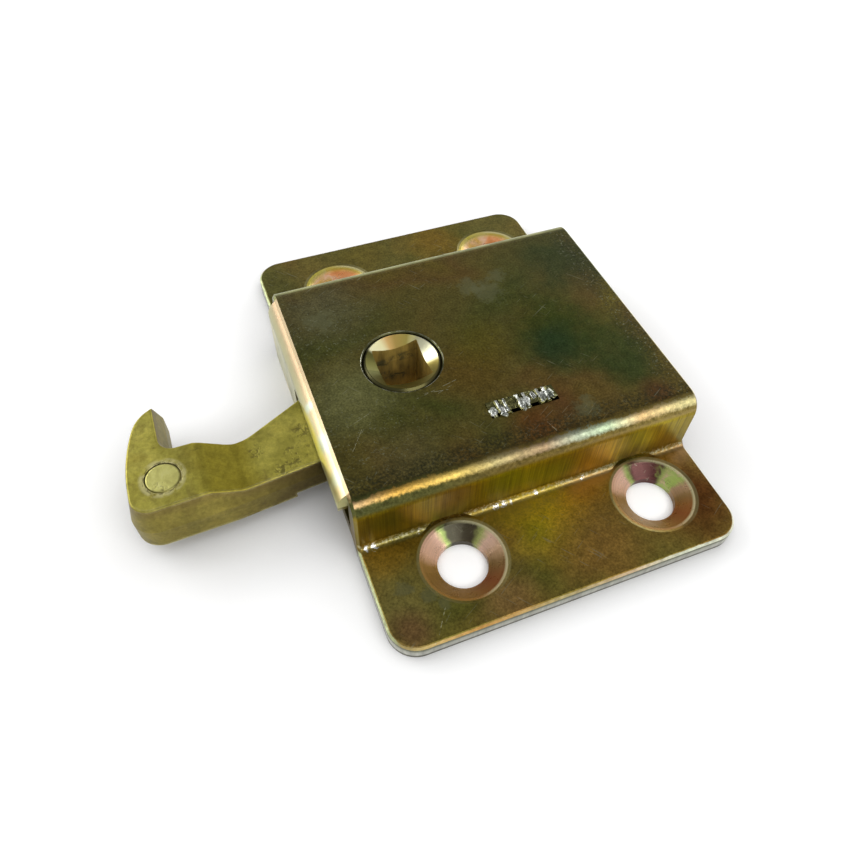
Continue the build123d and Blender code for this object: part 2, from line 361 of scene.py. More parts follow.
def addFloor(look):
    # a flat disc: the point at angle t of its rim is (r cos t, r sin t)
    sides = look["sides"]
    around = np.linspace(0, 2 * math.pi, sides, endpoint=False)
    rim = np.stack([np.cos(around), np.sin(around), np.zeros(sides)], axis=1) * look["radius"]
    rim[:, 2] = -look["sink"] * mm
    mesh = bpy.data.meshes.new("floor")
    mesh.from_pydata(rim.tolist(), [], [list(range(sides))])
    floor = addObject("floor", mesh)
    paint = Paint("floorPaper")
    paint.tree.nodes.remove(paint.shader)
    card = paint.add("BsdfDiffuse")
    card.inputs["Color"].default_value = (look["white"],) * 3 + (1,)
    rays = paint.add("LightPath")
    seen = paint.most(*[rays.outputs[f"Is {kind} Ray"] for kind in ("Camera", "Glossy", "Transmission")])
    # the lift dims near the lock as a painted contact shadow, and the screw holes get painted light
    shadowOcclusion = paint.add("AmbientOcclusion", samples=8)
    shadowOcclusion.inputs["Distance"].default_value = look["paintedShadowReach"] * mm
    paintedShadowFade = paint.calc("POWER", shadowOcclusion.outputs["AO"], look["paintedShadowPower"])
    holeLightMask = paint.times(paint.fade(fromScrewHole(paint)[2], *look["paintedHoleLightReach"]), look["paintedHoleLight"])
    glow = paint.plus(paint.times(paintedShadowFade, look["lift"]), holeLightMask)
    lift = paint.add("Emission")
    paint.join(paint.times(seen, glow), lift.inputs["Strength"])
    both = paint.add("AddShader")
    paint.join(card.outputs[0], both.inputs[0])
    paint.join(lift.outputs[0], both.inputs[1])
    paint.join(both.outputs[0], paint.output.inputs["Surface"])
    floor.data.materials.append(paint.material)


# yellow-passivated zinc over the pressed sheet; places and sizes in mm, azimuths in degrees
zincSheet = {
    "plan": (-15.65, 37.35, 21.75),  # the case's left end, right end and half width
    "flangeEnds": (-14.35, 37.05),
    "flangeTop": 2.62,
    "topFrom": 9.4,  # above this height a face belongs to the top and its bends
    "bareZinc": (0.8, 0.8, 0.72),
    "hues": [
        (0.3, (0.1, 0.12, 0.024)),
        (0.44, (0.155, 0.14, 0.034)),
        (0.53, (0.19, 0.15, 0.036)),
        (0.62, (0.2, 0.13, 0.034)),
        (0.76, (0.23, 0.18, 0.03)),
    ],
    # the broad iridescent patches by height: place, radius, colour and strength
    "patches": {
        12.4: [
            ((24, -1), 12, (0.055, 0.088, 0.01), 0.85),
            ((22.5, -5), 7, (0.03, 0.07, 0.024), 0.8),
            ((30, -7), 9, (0.05, 0.086, 0.018), 0.75),
            ((8.5, -5), 9, (0.2, 0.125, 0.022), 0.7),
            ((13.5, -17.5), 6, (0.25, 0.085, 0.022), 0.75),
            ((18, -14.5), 5, (0.17, 0.065, 0.024), 0.6),
            ((31, -12.5), 7, (0.055, 0.086, 0.02), 0.85),
            ((32, -18.2), 4, (0.17, 0.06, 0.024), 0.7),
            ((32, 12), 12, (0.058, 0.084, 0.026), 0.85),
            ((12, 0), 7, (0.2, 0.165, 0.018), 0.55),
            ((-8, 14), 11, (0.185, 0.18, 0.085), 0.75),
            ((-9, -4), 9, (0.31, 0.305, 0.115), 0.75),
            ((-5, -17), 8, (0.22, 0.175, 0.066), 0.6),
        ],
        2.6: [
            ((11.5, -26), 9, (0.44, 0.36, 0.024), 0.9),
            ((16.7, -32.5), 10, (0.25, 0.16, 0.044), 0.75),
            ((9.5, -27.5), 4, (0.2, 0.22, 0.015), 0.6),
            ((-11, -31), 8, (0.18, 0.18, 0.058), 0.85),
            ((-11.5, -34.7), 4, (0.15, 0.088, 0.046), 0.7),
            ((-11.5, -24.5), 4, (0.33, 0.24, 0.04), 0.75),
            ((2, -35), 6, (0.24, 0.17, 0.07), 0.7),
            ((33, -31), 9, (0.078, 0.03, 0.007), 0.9),
            ((19.0, 35.5), 10, (0.3, 0.17, 0.024), 0.7),
            ((5, 36), 7, (0.19, 0.15, 0.028), 0.7),
            ((-12, 31), 9, (0.095, 0.1, 0.028), 0.7),
        ],
    },
    "flangeGain": (1.75, 1.45),  # how much lighter the front and the rear flange are painted than the top
    "frontTint": (1.1, 0.93, 0.8),
    # rubbed gold beside the riser's foot, from the middle to the right
    "beside": [(0.0, (0.5, 0.4, 0.06)), (1.0, (0.66, 0.4, 0.18))],
    "darkFlecks": (0.04, 0.044, 0.022),
    "paleFlecks": (0.38, 0.4, 0.25),
    # where pale flecks lie thick: place, radius
    "paleSpots": [((-8, -12, 12.4), 12), ((-8, 10, 12.4), 12)],
    # rubbed grey places: place, radius
    "smudges": [
        ((18, 9.5, 12.4), 3.4), ((15.5, 11.2, 12.4), 2.6), ((20.5, 12, 12.4), 2.2), ((21.1, -17.0, 12.4), 2.2),
        ((-7.7, -31.3, 2.6), 1.3), ((-6.3, -33.0, 2.6), 1.1), ((-10.5, -29.5, 2.6), 1.4), ((-9, 12, 12.4), 3.0),
    ],
    "smudgeColor": (0.25, 0.26, 0.13),
    # single scratches: from, to, width
    "scratches": [
        ((-9.4, -37.6, 2.4), (-6.0, -34.4, 2.6), 0.15), ((-8.4, -36.6, 2.6), (-6.4, -33.6, 2.6), 0.09),
        ((-0.6, -7.5, 12.4), (5.9, -6.1, 12.4), 0.1), ((0.6, -6.9, 12.4), (4.2, -7.4, 12.4), 0.12),
        ((2.6, -7.6, 12.4), (5.0, -6.8, 12.4), 0.08), ((-11.0, -9.0, 12.4), (-7.4, -7.6, 12.4), 0.07),
        ((-11.6, -13.0, 12.4), (-9.4, -10.0, 12.4), 0.07), ((14.6, -16.8, 12.4), (15.3, -19.2, 12.4), 0.08),
    ],
    "scratchColor": (0.5, 0.5, 0.34),
    # painted glints, mostly along the concave foot of the front riser and one on the left bend's rear: place,
    # radius
    "paintedGlints": [
        ((-13.2, -22.3, 2.9), 0.6), ((-12.1, -22.3, 2.9), 0.6), ((5.9, -22.3, 3.0), 0.55),
        ((6.9, -22.3, 3.0), 0.65), ((8.0, -22.3, 3.0), 0.5), ((12.2, -22.3, 3.0), 0.45), ((16.4, -22.3, 3.0), 0.4),
        ((19.6, -22.3, 3.0), 0.45), ((-5.6, -22.3, 3.0), 0.4), ((-15.2, 19.0, 11.6), 0.6),
    ],
    "paintedGlintColor": (0.97, 0.97, 0.93),
    # the rear of the left wall painted pale grey, a painted reflection of the white floor
    "leftWallReflection": [(0.38, (0.5, 0.51, 0.35)), (0.52, (0.66, 0.66, 0.46)), (0.64, (0.76, 0.7, 0.46))],
    # the hole round the hub: a dark rim of painted shade, and a painted glint
    "holeRimShade": (0.085, 0.085, 0.035),
    "holeRimShadeRadii": (6.12, 6.04),
    "glint": (0.86, 0.86, 0.7),
    "glintRadii": (5.96, 6.02),
    "bend": {
        "turned": (0.03, 0.12, 0.955, 0.992),  # how far its faces look up
        # along the front bend, from left to right: a painted highlight streak in the film's iridescent hues
        "highlightStreak": [
            (0.03, (0.44, 0.3, 0.15)), (0.14, (0.6, 0.35, 0.07)), (0.29, (0.58, 0.42, 0.105)),
            (0.4, (0.36, 0.3, 0.13)), (0.54, (0.33, 0.23, 0.13)), (0.63, (0.38, 0.42, 0.3)),
            (0.72, (0.5, 0.62, 0.4)), (0.82, (0.66, 0.45, 0.2)), (0.95, (0.68, 0.6, 0.28)),
        ],
        # the dark band under the streak, painted as a dark reflection
        "paintedDarkBand": [
            (0.05, (0.09, 0.094, 0.028)), (0.24, (0.11, 0.105, 0.03)), (0.42, (0.18, 0.13, 0.036)),
            (0.7, (0.22, 0.16, 0.04)), (0.92, (0.28, 0.21, 0.06)),
        ],
        # a second, fainter painted highlight line low on the bend, to the right
        "second": (0.44, 0.32, 0.15),
        "secondTilt": (0.2, 0.28, 0.38, 0.46),
        "rear": [(0.4, (0.24, 0.25, 0.09)), (0.6, (0.38, 0.38, 0.14))],
        # over the left end's bend, from the wall up to the top: a painted highlight and reflection
        "leftBendHighlight": [
            (0.05, (0.56, 0.55, 0.3)), (0.3, (0.6, 0.57, 0.3)), (0.55, (0.62, 0.56, 0.32)),
            (0.74, (0.66, 0.5, 0.3)), (0.9, (0.7, 0.4, 0.25)), (0.965, (0.46, 0.27, 0.15)),
            (1.0, (0.17, 0.15, 0.07)),
        ],
        "teal": (0.7, 0.8, 0.66),
        # place, radius, softness
        "tealSpots": [
            ((-14.7, -9.8, 11.6), 2.2, 0.7), ((-14.7, -15.8, 11.6), 1.8, 0.7), ((-14.9, -3.0, 11.3), 1.2, 0.8),
        ],
    },
    "riser": {
        "hues": [(0.3, (0.19, 0.145, 0.006)), (0.5, (0.23, 0.165, 0.007)), (0.72, (0.275, 0.19, 0.01))],
        # place, radius, colour
        "tints": [
            ((21.8, -21.7, 6.8), 7, (0.38, 0.21, 0.01)),
            ((15.2, -21.7, 6.3), 5, (0.16, 0.18, 0.006)),
            ((7.0, -21.7, 7.6), 7, (0.1, 0.125, 0.004)),
            ((11.5, -21.7, 7.0), 6, (0.12, 0.135, 0.005)),
            ((-1.1, -21.7, 7.8), 5, (0.2, 0.105, 0.01)),
            ((29.3, -21.7, 9.3), 7, (0.4, 0.31, 0.014)),
            ((-11.0, -21.7, 7.0), 5, (0.08, 0.082, 0.008)),
        ],
        "low": (0.13, 0.1, 0.015),
        # pale flecks along the concave foot: painted highlight
        "foot": (0.56, 0.54, 0.34),
    },
    "cone": {
        # round a front countersink: azimuth, colour; the film's hues, with painted highlights near 22 and 116
        # degrees and a near-black painted dark reflection from 47 to 94
        "front": [
            (-180, (0.36, 0.2, 0.05)), (-106, (0.33, 0.17, 0.04)), (-54, (0.3, 0.105, 0.04)),
            (-18, (0.28, 0.17, 0.065)), (6, (0.52, 0.33, 0.2)), (22, (0.84, 0.56, 0.42)), (36, (0.42, 0.46, 0.14)),
            (47, (0.06, 0.045, 0.022)), (94, (0.055, 0.05, 0.022)), (104, (0.36, 0.46, 0.12)),
            (116, (0.82, 0.52, 0.38)), (150, (0.74, 0.44, 0.28)), (166, (0.38, 0.21, 0.055)),
        ],
        # two patches on the right front cone, with their arcs in radians
        "maroon": (0.11, 0.03, 0.024),
        "maroonArc": (0.7, 0.9, 1.6, 1.85),
        "green": (0.42, 0.58, 0.12),
        "greenArc": (-0.05, 0.15, 0.8, 0.98),
        "rear": [
            (0.38, (0.8, 0.29, 0.08)), (0.48, (0.95, 0.42, 0.18)), (0.56, (0.95, 0.62, 0.4)),
            (0.66, (0.8, 0.5, 0.14)),
        ],
        "rearRim": (0.5, 0.48, 0.06),
        "rearRimRadii": (4.7, 5.6),
        # a painted highlight on the cone's rim
        "rim": (0.66, 0.62, 0.36),
        "rimHighlightRadii": (5.45, 5.75),
        "radii": (6.05, 5.85),
        "landHighlight": (0.5, 0.46, 0.22),
        "landRadii": (5.9, 6.05, 6.25, 6.45),
        "rings": 4200,  # turning marks per metre
    },
    "edge": {
        # up the sheared side: a dark foot line of painted shade, pale grey as a painted reflection of the floor,
        # darker above
        "shearReflection": [
            (0.1, (0.16, 0.16, 0.12)), (0.22, (0.58, 0.58, 0.52)), (0.55, (0.5, 0.5, 0.43)),
            (0.75, (0.2, 0.21, 0.14)), (0.9, (0.13, 0.13, 0.07)),
        ],
        # along the front flange's upper corner, from left to right: burnished, with a painted highlight
        "cornerHighlight": [
            (0.06, (0.62, 0.48, 0.2)), (0.22, (0.66, 0.36, 0.11)), (0.45, (0.5, 0.42, 0.2)),
            (0.65, (0.72, 0.54, 0.34)), (0.8, (0.8, 0.84, 0.66)), (0.97, (0.86, 0.88, 0.7)),
        ],
        "leftCornerHighlight": (0.66, 0.72, 0.4),
        "cornerTurn": (0.4, 0.55, 0.84, 0.93),  # how far the broken corner looks up
    },
}


def weather(paint, look):
    # the film's broad hues, its fine grain and its mottle, the same on every piece of the sheet
    color = paint.ramp(paint.noise(46, 2, 0.5, 0.6), *look["hues"])
    return color, paint.noise(3300, 2, 0.6), paint.noise(640, 4, 0.65)


def topFlecks(paint, color, look, onTop):
    # speckled dark beside the bends, and small pale flecks over most of the left
    left, right, half = look["plan"]
    front = paint.fade(paint.y, 6.4 - half, 3.6 - half)
    ends = paint.most(
        paint.times(paint.fade(paint.x, left + 6.4, left + 3.0), 0.5),
        paint.fade(paint.x, right - 5.6, right - 2.8))
    rear = paint.fade(paint.y, half - 5.0, half - 2.6)
    flecks = paint.flecks(0.36, 0.62, 2600, 4, 0.75)
    beside = paint.most(paint.times(front, 0.8), paint.times(ends, 0.55), paint.times(rear, 0.25))
    color = paint.mix(paint.times(onTop, flecks, beside), color, look["darkFlecks"])
    spots = [paint.spot(centre, radius, 0.8) for centre, radius in look["paleSpots"]]
    thick = paint.most(paint.times(front, 0.5), ends, *spots, 0.15)
    pale = paint.times(onTop, paint.flecks(0.58, 0.68, 2300, 3, 0.75), thick)
    return paint.mix(paint.times(pale, 0.6), color, look["paleFlecks"])


def bendHighlights(paint, color, look, onTop):
    # the sheet was stretched over the bends: its iridescent hues carry a painted highlight streak, with a painted
    # dark band above the riser
    film = look["bend"]
    left, right, half = look["plan"]
    speckle = paint.noise(1900, 3, 0.75)
    waver = paint.plus(paint.swing(paint.noise(170, 3, 0.6), 0.2), paint.swing(speckle, 0.22))
    tilt = paint.plus(paint.up, waver)
    along = paint.fade(paint.x, left, right, smooth=False)
    highlightStreak = paint.shade(paint.ramp(along, *film["highlightStreak"]), paint.step(speckle, 0.34, 0.66, 0.7, 1.3, False))
    paintedDarkBand = paint.shade(paint.ramp(along, *film["paintedDarkBand"]), paint.step(speckle, 0.34, 0.66, 0.6, 1.4, False))
    foot = paint.step(along, 0.1, 0.42, 0.65, 0.55)
    lit = paint.times(paint.step(tilt, 0.95, 0.89), paint.step(tilt, foot, paint.plus(foot, 0.14)))
    second = paint.times(paint.between(tilt, *film["secondTilt"]), paint.step(along, 0.45, 0.75), 0.25)
    hues = paint.mix(second, paint.mix(lit, paintedDarkBand, highlightStreak), film["second"])
    bent = paint.times(onTop, paint.between(paint.up, *film["turned"]))
    color = paint.mix(paint.times(bent, 0.94), color, hues)
    behind = paint.times(bent, paint.fade(paint.y, 0, 2))
    color = paint.mix(behind, color, paint.ramp(paint.noise(200, 3, 0.6), *film["rear"]))
    # the left end's bend is a painted highlight and reflection, from salmon at the top to cream and to grey on the
    # wall, brighter towards the front
    soft = paint.plus(paint.up, paint.times(waver, 0.6, paint.step(paint.up, 0.999, 0.9)))
    atLeft = paint.times(
        onTop, paint.step(paint.up, 0.9992, 0.975), paint.fade(paint.x, left + 2.75, left + 2.45),
        paint.fade(paint.absolute(paint.y), half - 2.7, half - 3.0))
    leftHighlight = paint.shade(paint.ramp(soft, *film["leftBendHighlight"]), paint.fade(paint.y, -16, 6, 1.54, 0.74))
    teal = paint.most(*[paint.spot(*place) for place in film["tealSpots"]])
    leftHighlight = paint.mix(paint.times(teal, 0.75), leftHighlight, film["teal"])
    return paint.mix(atLeft, color, leftHighlight), paint.most(bent, atLeft)


def riserHues(paint, color, look):
    # rubbed by the press: fine upright streaks, darker and greener at the left
    film = look["riser"]
    left, right, half = look["plan"]
    inLine = paint.times(
        paint.fade(paint.absolute(paint.y), half - 0.6, half - 0.3), paint.fade(paint.z, 2.64, 2.9))
    riser = paint.times(paint.step(paint.up, 0.4, 0.1), inLine)
    fine = paint.noise(4200, 2, 0.6, stretch=(1, 1, 40))
    gold = paint.ramp(paint.noise(300, 3, 0.6, stretch=(1, 1, 9)), *film["hues"])
    for centre, radius, tint in film["tints"]:
        gold = paint.mix(paint.times(paint.spot(centre, radius, 0.9), 0.8), gold, tint)
    lighter = paint.fade(paint.x, left, right, 1.05, 1.28, False)
    gold = paint.shade(gold, paint.times(paint.vary(fine, 0.68, 1.32), lighter))
    gold = paint.mix(paint.times(paint.fade(paint.z, 6.5, 3.2), 0.4), gold, film["low"])
    color = paint.mix(riser, color, gold)
    # pale flecks along the riser's concave foot, painted highlight
    foot = paint.times(paint.fade(paint.z, 3.7, 3.2), inLine, paint.flecks(0.5, 0.6, 2300, 3, 0.7))
    return paint.mix(paint.times(foot, 0.55), color, film["foot"]), riser


def coneHues(paint, color, look):
    # away is the distance to the nearest screw hole's axis, turn the azimuth on its cone
    film = look["cone"]
    fromX, fromY, away = fromScrewHole(paint)
    turn = paint.plus(paint.calc("ARCTAN2", fromY, fromX), paint.swing(paint.noise(340, 4, 0.65), 0.5))
    middle = screwHoles["middle"][0]
    atRight = paint.fade(paint.x, middle, middle + 1)
    facing = paint.times(paint.between(turn, *film["maroonArc"]), atRight)
    hues = paint.mix(facing, paint.around(turn, film["front"]), film["maroon"])
    green = paint.times(
        paint.between(turn, *film["greenArc"]), atRight, paint.flecks(0.4, 0.56, 420, 3, 0.6, 0.5))
    hues = paint.mix(paint.times(green, 0.9), hues, film["green"])
    rear = paint.ramp(paint.noise(210, 3, 0.6, 0.5), *film["rear"])
    rear = paint.mix(paint.times(paint.fade(away, *film["rearRimRadii"]), 0.8), rear, film["rearRim"])
    hues = paint.mix(paint.fade(paint.y, 0, 1), hues, rear)
    # a painted highlight on the cone's rim, on the side that faces right
    rim = paint.times(paint.fade(away, *film["rimHighlightRadii"]), paint.step(paint.calc("COSINE", turn), -0.2, 0.5))
    hues = paint.mix(paint.times(rim, 0.7), hues, film["rim"])
    rings = paint.add("TexNoise", noise_dimensions="1D")
    rings.inputs["Scale"].default_value = film["rings"]
    paint.join(away, rings.inputs["W"])
    hues = paint.shade(hues, paint.vary(rings.outputs[0], 0.88, 1.12))
    low = paint.times(paint.calc("LESS_THAN", paint.z, look["flangeTop"] * mm), paint.step(paint.up, -0.6, -0.3))
    cone = paint.times(paint.fade(away, *film["radii"]), low)
    color = paint.mix(cone, color, hues)
    # a narrow land round the cone, with a painted highlight to its left and right
    landHighlight = paint.times(
        paint.band(away, *film["landRadii"]), low,
        paint.step(paint.absolute(paint.calc("COSINE", turn)), 0.1, 0.8, 0.1, 0.5))
    return paint.mix(landHighlight, color, film["landHighlight"]), cone, away


def cutEdges(paint, color, look, away):
    # the flanges' sheared sides are painted pale grey, a reflection of the floor, and their broken upper corners
    # bright, burnished and with a painted highlight
    film = look["edge"]
    half = look["plan"][2]
    low = paint.times(
        paint.calc("LESS_THAN", paint.z, look["flangeTop"] * mm), paint.fade(away, 6.6, 6.9),
        paint.fade(paint.absolute(paint.y), half - 0.4, half))
    shearReflection = paint.ramp(paint.fade(paint.z, 0.1, 2.4, smooth=False), *film["shearReflection"])
    shearReflection = paint.shade(shearReflection, paint.vary(paint.noise(1500, 3, 0.6, stretch=(1, 1, 9)), 0.8, 1.2))
    color = paint.mix(paint.times(low, paint.step(paint.absolute(paint.up), 0.5, 0.3)), color, shearReflection)
    ragged = paint.plus(paint.z, paint.swing(paint.noise(700, 4, 0.7), 0.22 * mm))
    broken = paint.times(low, paint.between(paint.up, *film["cornerTurn"]), paint.fade(ragged, 2.52, 2.42))
    cornerHighlight = paint.ramp(paint.fade(paint.x, *look["flangeEnds"], smooth=False), *film["cornerHighlight"])
    cornerHighlight = paint.mix(paint.fade(paint.x, -13.2, -13.9), cornerHighlight, film["leftCornerHighlight"])
    cornerHighlight = paint.shade(cornerHighlight, paint.vary(paint.noise(900, 3, 0.6), 0.7, 1.2))
    return paint.mix(paint.times(broken, 0.92), color, cornerHighlight)


def nicks(paint, marks):
    # short fine strokes from handling, in two directions, besides the single scratches
    strokes = 0.0
    for turn in (31, -52):
        line = paint.noise(1300, 1, 0.5, stretch=(5, 0.35, 1), turn=turn)
        strokes = paint.most(strokes, paint.step(line, 0.7, 0.74))
    strokes = paint.times(strokes, paint.flecks(0.46, 0.62, 90, 2, 0.5), 0.35)
    longest = paint.most(*[paint.line(*mark) for mark in marks])
    return paint.most(strokes, paint.times(longest, paint.flecks(0.42, 0.56, 1600, 2, 0.6)))


def zincPlatePaint(name, look):
    paint = Paint(name)
    color, grain, mottle = weather(paint, look)
    color = paint.shade(color, paint.vary(grain, 0.8, 1.2))
    worn = paint.times(paint.step(paint.edges(0.3)[1], 0.06, 0.3), 0.7)
    color = paint.mix(worn, color, look["bareZinc"])
    paint.bump(paint.plus(grain, mottle), 0.03, 0.6)
    return paint.finish(color, paint.vary(mottle, 0.3, 0.42))


def filmHues(paint, look, onTop):
    # the passivated film: broad patches, lighter flanges, flecks and smudges
    color, grain, mottle = weather(paint, look)
    fray = paint.noise(210, 4, 0.62)
    for height, patches in look["patches"].items():
        for centre, radius, tint, strength in patches:
            mask = paint.spot((*centre, height), radius, 0.9, fray, 0.35)
            color = paint.mix(paint.times(mask, strength), color, tint)
    color = paint.shade(color, paint.times(paint.vary(grain, 0.7, 1.3), paint.vary(mottle, 0.84, 1.16)))
    frontGain, rearGain = look["flangeGain"]
    half = look["plan"][2]
    color = paint.shade(color, paint.fade(paint.y, -half - 1.6, -half - 0.4, frontGain, 1.0))
    color = paint.shade(color, paint.fade(paint.y, half, half + 1, 1.0, rearGain))
    color = paint.mix(paint.fade(paint.y, -half - 0.4, -half - 1.6), color, look["frontTint"], "MULTIPLY")
    beside = paint.times(
        paint.fade(paint.y, -half - 4.2, -half - 1.0), paint.fade(paint.x, -4, 8), paint.step(fray, 0.3, 0.6),
        paint.fade(paint.y, -half, -half - 0.5))
    rubbed = paint.ramp(paint.fade(paint.x, 0, 25, smooth=False), *look["beside"])
    color = topFlecks(paint, paint.mix(paint.times(beside, 0.65), color, rubbed), look, onTop)
    for centre, radius in look["smudges"]:
        mask = paint.spot(centre, radius, 0.6, paint.noise(520, 5, 0.75), 1.3)
        color = paint.mix(paint.times(mask, 0.45), color, look["smudgeColor"])
    return color, grain, mottle


def holeRimShadeAndGlint(paint, color, look, onTop):
    # the case's hole round the hub has a dark rim of painted shade, with a painted glint at its lower left
    away = paint.reach(paint.x, paint.y)
    rim = paint.times(onTop, paint.fade(away, *look["holeRimShadeRadii"]))
    color = paint.mix(rim, color, look["holeRimShade"])
    lowLeft = paint.fade(paint.plus(paint.x, paint.times(paint.y, 1.2)), 1.0, -5.0, 0.25, 1.0)
    glint = paint.times(
        rim, lowLeft, paint.flecks(0.42, 0.58, 1100, 4, 0.7), paint.fade(away, *look["glintRadii"]))
    return paint.mix(glint, color, look["glint"])


def zincCasePaint(name, look):
    paint = Paint(name)
    left, right, half = look["plan"]
    onTop = paint.calc("GREATER_THAN", paint.z, look["topFrom"] * mm)
    color, grain, mottle = filmHues(paint, look, onTop)
    color, bent = bendHighlights(paint, color, look, onTop)
    color, riser = riserHues(paint, color, look)
    # the left wall painted pale, a painted reflection of the floor
    leftWallReflection = paint.times(
        paint.fade(paint.x, left + 0.9, left + 0.3), paint.fade(paint.z, 9.8, 8.8),
        paint.fade(paint.absolute(paint.y), half + 0.2, half))
    wallReflection = paint.ramp(paint.noise(150, 4, 0.65, 0.5), *look["leftWallReflection"])
    color = paint.mix(paint.times(leftWallReflection, 0.8), color, wallReflection)
    color, cone, away = coneHues(paint, color, look)
    color = cutEdges(paint, color, look, away)
    marks = nicks(paint, look["scratches"])
    spared = paint.step(paint.most(bent, riser), 0.0, 1.0, 1.0, 0.2)
    color = paint.mix(paint.times(marks, 0.8, spared), color, look["scratchColor"])
    color = holeRimShadeAndGlint(paint, color, look, onTop)
    # painted glints, a little less rough than the film round them
    paintedGlint = paint.spots(look["paintedGlints"], 0.5, 1500, 3, 0.7)
    paintedGlint = paint.times(paintedGlint, paint.flecks(0.44, 0.52, 2600, 2, 0.6))
    color = paint.mix(paintedGlint, color, look["paintedGlintColor"])
    height = paint.minus(paint.plus(paint.times(grain, 0.5), paint.times(mottle, 0.8)), paint.times(marks, 0.8))
    paint.bump(paint.times(height, paint.step(bent, 0.0, 1.0, 1.0, 0.35)), 0.03, 0.6)
    rough = paint.minus(paint.vary(mottle, 0.32, 0.44), paint.times(paint.most(paintedGlint, cone), 0.08))
    # the passivated film on the cones is dull, made less metallic so that its painted hues and highlights show
    return paint.finish(color, rough, paint.step(cone, 0.0, 1.0, 1.0, 0.45))


# the hook as cast, rubbed bright on its edges, with painted highlight and shade; places and sizes in mm
castBrass = {
    "hues": [
        (0.3, (0.34, 0.29, 0.05)),
        (0.45, (0.47, 0.42, 0.075)),
        (0.58, (0.56, 0.5, 0.1)),
        (0.74, (0.44, 0.36, 0.06)),
    ],
    "umber": (0.2, 0.145, 0.045),
    # the sides darker as painted shade, and darkest towards the case as its painted shadow
    "shadedSide": (0.2, 0.155, 0.036),
    "inner": (0.086, 0.06, 0.018),
    "slope": (0.35, 0.28, 0.022),
    "stain": (0.11, 0.09, 0.03),
    "paleWearAndHighlight": (0.74, 0.69, 0.36),
    "slopeEnds": (-30.8, -25.4),
    "tops": (9.85, 8.2),  # of the nose and of the arm
    "rebate": (-30, -18),  # where the arm's side darkens towards the case, a painted shadow of the case
    "highlightFrom": (-0.45, -0.8, 0.0),  # the way that the edges with a painted highlight face
    "pin": (-35.85, -6.6, 9.85),
    "lipRadii": (3.3, 2.8),
    "punchedRadii": (2.75, 2.5),
    # scuffs on the arm: place, radius
    "scuffs": [
        ((-19.5, -8.8, 8.2), 1.6), ((-18.0, -7.5, 8.2), 1.8), ((-16.8, -3.9, 8.2), 1.5), ((-23.6, -5.5, 8.2), 1.4),
        ((-21.0, -9.6, 8.2), 1.2),
    ],
    # round the hub's mouth: azimuth, colour; painted highlights and painted dark reflections
    "mouth": [
        (-180, (0.052, 0.052, 0.006)), (-120, (0.13, 0.12, 0.018)), (-44, (0.17, 0.135, 0.022)),
        (-18, (0.3, 0.24, 0.06)), (-4, (0.95, 0.92, 0.6)), (38, (0.95, 0.93, 0.64)), (50, (0.8, 0.74, 0.34)),
        (62, (0.36, 0.29, 0.06)), (84, (0.44, 0.3, 0.07)), (98, (0.74, 0.47, 0.16)), (112, (1.0, 0.93, 0.52)),
        (134, (1.0, 0.96, 0.6)), (140, (0.16, 0.15, 0.04)), (165, (0.08, 0.076, 0.014)),
    ],
    "hubFrom": 8.8,
    "hubRadii": (6.0, 5.9),
    # the gap round the hub, painted shade
    "hubGapShade": (0.07, 0.065, 0.03),
    "hubGapShadeRadii": (5.3, 5.42),
    "socketRadii": (5.15, 5.05),
    "paintedHighlightArc": (0.62, 0.68, 0.87, 0.89),  # shares of the turn round the mouth that hold its painted highlight
    "socket": (0.36, 0.25, 0.056),
    "socketFoot": (0.72, 0.49, 0.1),
    "grease": (0.05, 0.055, 0.022),
    # streaks of grease on the socket's rear wall: from, to, width
    "greaseLines": [((-2.6, 3.5, 8.6), (3.2, 3.5, 9.6), 2.4), ((-1.9, 3.5, 6.2), (1.0, 3.5, 5.2), 2.4)],
}


def castHues(paint, look, pits, mottle):
    # the casting's colours: sides darkened as painted shade, darkest towards the case as a painted shadow, a
    # yellower slope, and stains
    color = paint.ramp(paint.noise(130, 4, 0.6, 0.4), *look["hues"])
    umber = paint.flecks(0.5, 0.68, 190, 5, 0.7, 0.8)
    color = paint.mix(paint.times(umber, 0.4), color, look["umber"])
    shadedSide = paint.step(paint.up, 0.8, 0.35)
    color = paint.mix(paint.times(shadedSide, 0.8), color, look["shadedSide"])
    # just under the upper edge the sides are painted dark, as shade
    high, low = look["slopeEnds"]
    noseTop, armTop = look["tops"]
    below = paint.minus(paint.fade(paint.x, high, low, noseTop * mm, armTop * mm), paint.z)
    color = paint.mix(paint.times(shadedSide, paint.fade(below, 1.9, 0.4), 0.6), color, look["umber"])
    slope = paint.band(paint.x, high - 2.4, high + 1.6, low - 1.0, low + 3.0)
    color = paint.mix(paint.times(slope, paint.step(paint.up, 0.6, 0.8), 0.75), color, look["slope"])
    color = paint.mix(paint.times(shadedSide, paint.fade(paint.x, *look["rebate"]), 0.8), color, look["inner"])
    color = paint.shade(color, paint.times(
        paint.vary(pits, 0.82, 1.18), paint.vary(mottle, 0.8, 1.2),
        paint.fade(paint.x, high - 3, high, 0.84, 1.0)))
    scuffed = paint.times(paint.spots(look["scuffs"], 0.6, 900, 4, 0.7), paint.flecks(0.46, 0.56, 1300, 3, 0.7))
    stains = paint.most(paint.flecks(0.62, 0.72, 300, 5, 0.75, 0.6), scuffed)
    return paint.mix(paint.times(stains, 0.6), color, look["stain"]), scuffed


